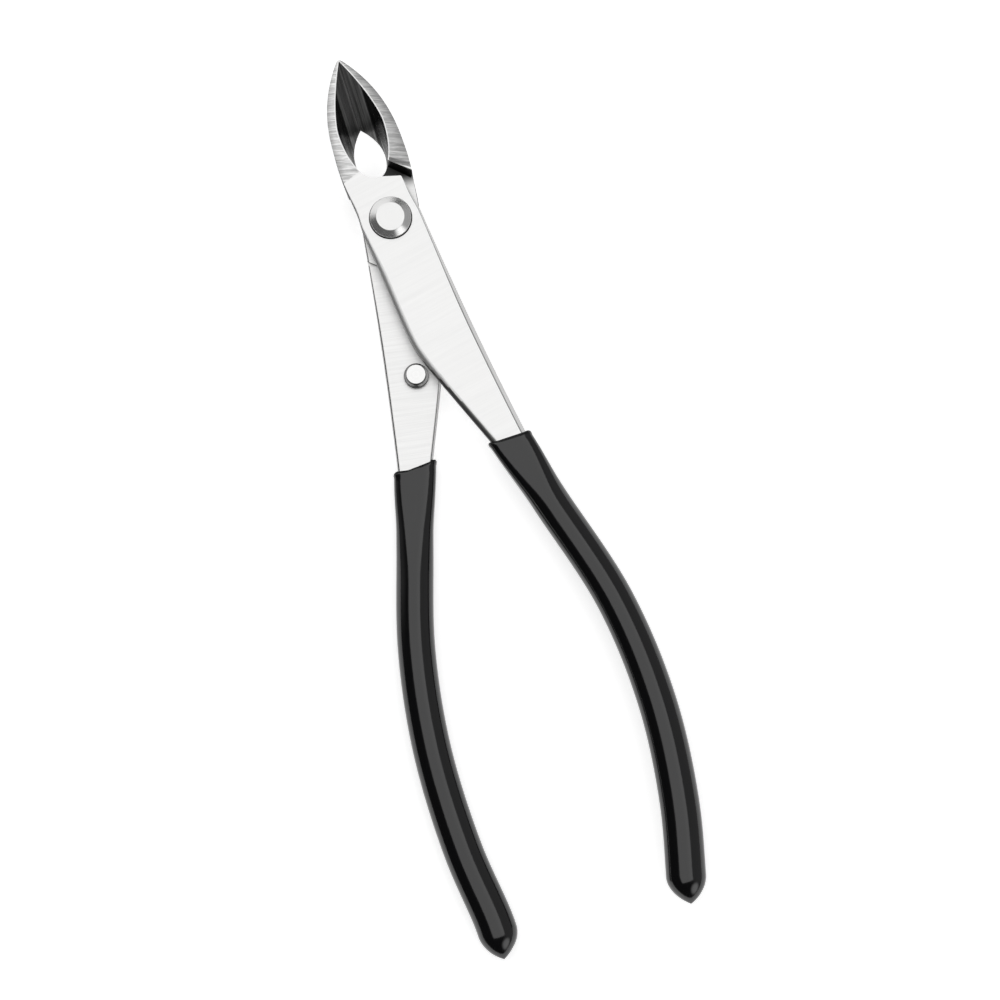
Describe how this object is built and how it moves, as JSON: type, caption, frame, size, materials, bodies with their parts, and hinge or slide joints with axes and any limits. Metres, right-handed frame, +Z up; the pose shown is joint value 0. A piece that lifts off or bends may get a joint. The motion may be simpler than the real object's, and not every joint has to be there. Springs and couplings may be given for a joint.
{
  "type": "bonsai branch cutter",
  "caption": "Hand cutter with hollow-ground jaws and slanted cutting edges, lapped steel levers on a coned rivet, a stop pin and bowed glossy black dipped grips.",
  "frame": {"origin": "centre of the flat outer face of the pivot rivet's back head", "axes": "+Z up the rivet from its back head to its front head, +Y towards the jaw tips, +X to the right seen from the front, over the lower lever's jaw"},
  "size_m": [0.0619, 0.2107, 0.0138],
  "materials": {
    "lever_steel": "stainless, brushed across its length, hollow polished",
    "rivet_steel": "turned and ground bright",
    "grip_vinyl": "glossy black dipped vinyl"
  },
  "bodies": {
    "lower": {"lower_lever": "lever_steel", "pivot_rivet": "rivet_steel", "stop_pin": "rivet_steel", "lower_grip": "grip_vinyl"},
    "upper": {"upper_lever": "lever_steel", "upper_grip": "grip_vinyl"}
  },
  "joints": [
    {"name": "pivot", "type": "hinge", "parent": "lower", "child": "upper", "pos_m": [0, 0, 0.0067], "axis": [0, 0, 1], "range_deg": [0, 45]}
  ]
}
